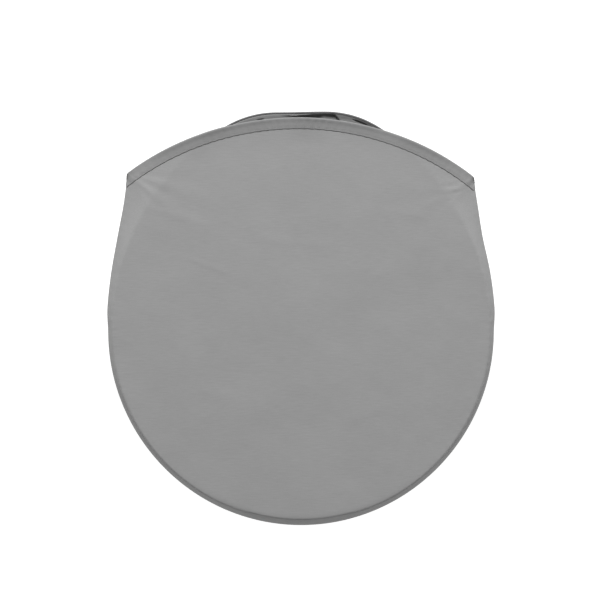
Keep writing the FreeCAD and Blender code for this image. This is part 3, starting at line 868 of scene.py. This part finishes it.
def make_binding(path):
    """The cloth channel round the band, puckered along its seam, and its row of stitches."""
    path = evenly(np.vstack([path, path[:1]]), BINDING_STEPS)[:-1]
    ahead = tangents(path, closed=True)
    level = np.column_stack([ahead[:, :2], np.zeros(len(ahead))])
    level /= np.linalg.norm(level, axis=1, keepdims=True)
    inwards = np.column_stack([level[:, 1], -level[:, 0], np.zeros(len(level))])
    angles = np.linspace(0, 2 * np.pi, 16, endpoint=False)
    side_out = np.sign(np.cos(angles)) * np.abs(np.cos(angles)) ** 0.7
    side_up = np.sign(np.sin(angles)) * np.abs(np.sin(angles)) ** 0.55
    rng = np.random.default_rng(41)
    swell = np.convolve(rng.normal(0, 1, len(path) + 8), np.ones(9) / 9, "valid")[: len(path)]
    half_width = BINDING_WIDTH / 2 * (1.08 + 0.10 * swell)
    half_height = CASING_HEIGHT / 2 * (0.97 + 0.012 * np.roll(swell, 5))
    reach = (side_out[None] * half_width[:, None])[..., None]
    sections = path[:, None] - inwards[:, None] * reach
    sections[..., 2] += side_up[None] * half_height[:, None]
    binding = tube("hoop_edge_binding", sections, BINDING_CLOTH, closed=True)
    row = path + inwards * (BINDING_WIDTH / 2 * 1.02) - np.array([0, 0, 3.6 * MM])
    thread = stitches("hoop_binding_stitches", row, inwards, DARK_THREAD, 3.4 * MM, 1.0 * MM)
    return binding, thread


def leaf_edge(upper):
    """Where a leaf meets its coil's binding: the upper leaf reaches the outermost lane."""
    grow = -BINDING_WIDTH / 2 - 0.1 * MM
    inner = half_coil(LANE_STEP, grow)
    if not upper:
        return np.vstack([inner, (inner * MIRROR)[::-1][1:]])
    outer = half_coil(0, grow)
    inner, outer = evenly(inner, LEAF_STEPS // 2), evenly(outer, LEAF_STEPS // 2)
    share = smooth_step(outer[:, 1:], 285 * MM, 312 * MM)
    left = (inner + (outer - inner) * share) * MIRROR
    return np.vstack([outer, left[::-1][1:]])


def crown_folds(x, y, d):
    """The upper leaf's height near the mouth, where it shows between the coils and the hem.

    x and y are places and d the distance inwards from the coils' outer lane, all in mm.
    """
    # left of the middle the cloth comes over the inner lane, right of it it lies slack
    over_inner_lane = 28.5 + 15.0 * (1 - np.exp(-d / 0.55))
    slack = 42.2 - 3.0 * np.sin(np.clip(d / 16, 0, 1) * np.pi)
    z = over_inner_lane + (slack - over_inner_lane) * smooth_step(x, -12, 20)
    # a pit that ends at a leaning fold, and the facet that rises beyond the fold
    lean = x - (362 - y) * 0.714
    pit = smooth_step(x, 22, 52) * (1 - smooth_step(lean, 51.0, 53.5)) * smooth_step(d, 0, 1.2)
    z = z - 3.5 * pit
    facet = smooth_step(lean, 53, 55) * (1 - smooth_step(x, 84, 112)) * smooth_step(d, 0.5, 2)
    z = z + facet * (0.2 + 0.22 * d)
    # narrow gaps between folds
    slit = window(x, 82, 95, 98, 112) * window(d, 1.8, 3.0, 3.6, 5.0)
    z = z - 6.0 * slit
    valley = window(x, -40, -10, 26, 40)
    z = z - 5.0 * valley * smooth_step(d, 0.6, 5.8)
    wedge = window(x, -20, -16, -7, -3) * window(d, 0, 0.6, 1.6, 2.6)
    z = z - 2.0 * wedge
    nick = window(x, -75, -70, -64, -59) * window(d, 6.2, 7.0, 8.0, 9.2)
    return z - 2.4 * nick


def leaf_grid(upper):
    """Rows of points from a leaf's edge to its middle, finer at the upper leaf's crown.

    Gives the points and each one's distance from the leaf's edge.
    """
    edge = evenly(leaf_edge(upper), LEAF_STEPS + 1)[:-1]
    fine = edge[:, 1] > 300 * MM if upper else np.zeros(len(edge), bool)
    edge = edge[fine | (np.arange(len(edge)) % 4 == 0)]
    if upper:
        near = np.concatenate([[0, 0.3, 0.7], np.arange(1.2, 16.1, 0.8)]) * MM
    else:
        near = np.array([0, 1.5, 4, 7, 10, 13, 16]) * MM
    far_out = np.linalg.norm(edge, axis=1)
    beyond = near[-1] + (far_out[:, None] - near[-1]) * np.linspace(0, 1, 44)[1:]
    depth = np.concatenate([np.tile(near, (len(edge), 1)), beyond], axis=1)
    return edge[:, None] * (1 - depth / far_out[:, None])[..., None], depth


def make_leaf(name, level, seed, way, upper):
    """One leaf of the backdrop's folded sheet, inside one coil: swirled soft folds.

    way is the swirl's sense.
    """
    grid, depth = leaf_grid(upper)
    far = np.linalg.norm(grid, axis=2)
    angle = np.arctan2(grid[..., 1], grid[..., 0])
    rng = np.random.default_rng(seed)
    z = np.zeros(far.shape)
    for count, twist, height in SWIRLS:
        phase, tilt = rng.uniform(0, 2 * np.pi, 2)
        turn = count * angle + way * twist * far / 0.3 + phase + 0.6 * np.sin(angle + tilt)
        z += height * (1 - np.abs(np.sin(turn))) ** 1.5 * 2 - height * 0.5
    z *= smooth_step(far, 5 * MM, 120 * MM) * smooth_step(depth, 1 * MM, 30 * MM)
    z = level + z * MM + ripple(grid, seed, 110 * MM, 0.5 * MM)
    if upper:
        crown = crown_folds(grid[..., 0] / MM, grid[..., 1] / MM, depth / MM) * MM
        crown += ripple(grid, 91, 17 * MM, 0.16 * MM)
        mask = smooth_step(grid[..., 1], 262 * MM, 285 * MM)
        mask = mask * (1 - smooth_step(depth, 15 * MM, 34 * MM))
        z = z + (crown - z) * mask
    vertices, faces = disc(np.dstack([grid, z]))
    return thicken(add_mesh(name, vertices, faces, BACKDROP_CLOTH), CLOTH * 0.6)


# ---------------------------------------------------------------- putting it together


def build_pouch():
    """The pouch's pieces, each on its body."""
    front, front_surface = make_panel(
        "pouch_front_cloth", FRONT_MOUTH_RISE, 1, FRONT_Z + FRONT_LIFT, front_wrinkles, 51
    )
    back, back_surface = make_panel(
        "pouch_back_cloth", BACK_MOUTH_RISE, -1, BACK_LIFT, floor_wrinkles, 52
    )
    front_hem, edge, inwards = make_hem(
        "front_mouth_hem_band", FRONT_MOUTH_RISE, front_surface, 61
    )
    front_row = hem_stitches("front_hem_stitches", edge, inwards, front_hem)
    back_hem, edge, inwards = make_hem("back_mouth_hem_band", BACK_MOUTH_RISE, back_surface, 62)
    back_row = hem_stitches("back_hem_stitches", edge, inwards, back_hem)
    tape, tape_row = make_seam_tape()
    left = make_corner_tack("left_mouth_tack", LEFT_CORNER, -1)
    right = make_corner_tack("right_mouth_tack", RIGHT_CORNER, 1)

    for piece in (front, front_hem, front_row):
        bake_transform(piece)
    for piece in (back, back_hem, back_row, tape, tape_row, left, right):
        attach(piece, "pouch")
    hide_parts("pouch_front_panel", "pouch_front_lip")
    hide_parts("pouch_back_panel")
    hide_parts("front_mouth_hem")
    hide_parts("front_hem_stitching")
    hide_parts("back_mouth_hem")
    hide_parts("back_hem_stitching")
    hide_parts("side_seam_tape")
    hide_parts("side_seam_stitching")
    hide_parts("left_corner_tack")
    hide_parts("right_corner_tack")


def build_backdrop():
    """The folded backdrop's pieces, each on its body."""
    binding, thread = make_binding(hoop_path())
    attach(binding, "folded_backdrop")
    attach(thread, "folded_backdrop")
    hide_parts("edge_binding")
    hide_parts("edge_binding_stitching")
    for index, name in enumerate(("lower", "middle", "upper")):
        low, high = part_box(f"backdrop_cloth_{name}_leaf")
        level = (low.z + high.z) / 2
        way, upper = (-1) ** index, name == "upper"
        leaf = make_leaf(f"backdrop_sheet_{name}_fold", level, 70 + index, way, upper)
        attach(leaf, "folded_backdrop")
        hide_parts(f"backdrop_cloth_{name}_leaf")


def paint_cad_nodes():
    """Materials for the CAD nodes that stay as they are."""
    steel = metal_material("spring_steel", (0.42, 0.43, 0.45), 0.28, 0.4 * MM)
    sleeve = metal_material("sleeve_steel", (0.58, 0.58, 0.60), 0.22, 0.3 * MM)
    rivet = metal_material("rivet_aluminium", (0.72, 0.72, 0.74), 0.3, 0.2 * MM)
    wrap = thread_material("joint_wrap_film", (0.03, 0.03, 0.03))
    paints = {
        "spring_band": steel,
        "band_joint_sleeve": sleeve,
        "band_joint_rivets": rivet,
        "band_joint_wrap": wrap,
    }
    for node, material in paints.items():
        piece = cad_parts[node]
        piece.data.materials.clear()
        piece.data.materials.append(material)


def add_floor():
    """A plain pale floor, and a wall of the same tone round it."""
    half, floor_z, wall_top, wall_sides = 8.0, -0.3 * MM, 1.3, 64
    material, _, shader = new_material("pale_floor")
    shader.inputs["Base Color"].default_value = (0.3, 0.3, 0.3, 1)
    shader.inputs["Roughness"].default_value = 0.9
    shader.inputs["Specular IOR Level"].default_value = 0.0
    shader.inputs["Emission Color"].default_value = (1, 1, 1, 1)
    shader.inputs["Emission Strength"].default_value = 0.95
    signs = ((-1, -1), (1, -1), (1, 1), (-1, 1))
    corners = [(x * half, y * half, floor_z) for x, y in signs]
    floor = add_mesh("floor", corners, [(0, 1, 2, 3)], material)
    turn = np.linspace(0, 2 * np.pi, wall_sides + 1)[:-1]
    ring = np.stack([half * np.cos(turn), half * np.sin(turn)], 1) * 0.98
    rows = [np.column_stack([ring, np.full(wall_sides, z)]) for z in (floor_z, wall_top)]
    faces = grid_faces(2, wall_sides, wrap_columns=True)
    wall = add_mesh("wall", np.vstack(rows), faces, material)


def add_light(name, place, target, size, power):
    """A square soft light that looks at a point."""
    light = bpy.data.lights.new(name, "AREA")
    light.size = size
    light.energy = power
    lamp = bpy.data.objects.new(name, light)
    lamp.location = place
    lamp.rotation_euler = (Vector(target) - Vector(place)).to_track_quat("-Z", "Y").to_euler()
    bpy.context.scene.collection.objects.link(lamp)


def add_studio():
    """A key light from beyond the mouth, a weak fill from below it, and a pale surround."""
    scene = bpy.context.scene
    scene.view_settings.view_transform = "Standard"
    world = bpy.data.worlds.new("studio")
    world.use_nodes = True
    background = world.node_tree.nodes["Background"]
    background.inputs["Color"].default_value = (1, 1, 1, 1)
    background.inputs["Strength"].default_value = 0.22
    scene.world = world
    middle = (0, 0.02, 0)
    add_light("key", place=(0.0, 4.2, 4.4), target=middle, size=1.2, power=440)
    add_light("fill", place=(0.0, -0.9, 3.0), target=middle, size=2.0, power=3)


def add_camera():
    """A camera straight above, at the distance where the object has its share of the picture."""
    low, high = CAD_BOX
    across = high.x - low.x
    share_of_picture = 0.6435
    lens, sensor = 135.0, 36.0
    picture = across / share_of_picture
    camera = bpy.data.cameras.new("camera")
    camera.lens = lens
    camera.sensor_width = sensor
    eye = bpy.data.objects.new("camera", camera)
    left_of_middle, above_middle = 0.0026 * across, 0.0475 * across
    eye.location = (
        (low.x + high.x) / 2 - left_of_middle,
        (low.y + high.y) / 2 + above_middle,
        SEAM_Z + picture * lens / sensor,
    )
    eye.rotation_euler = (0, 0, 0)
    bpy.context.scene.collection.objects.link(eye)
    bpy.context.scene.camera = eye


add_camera()
add_studio()
add_floor()
build_pouch()
build_backdrop()
paint_cad_nodes()
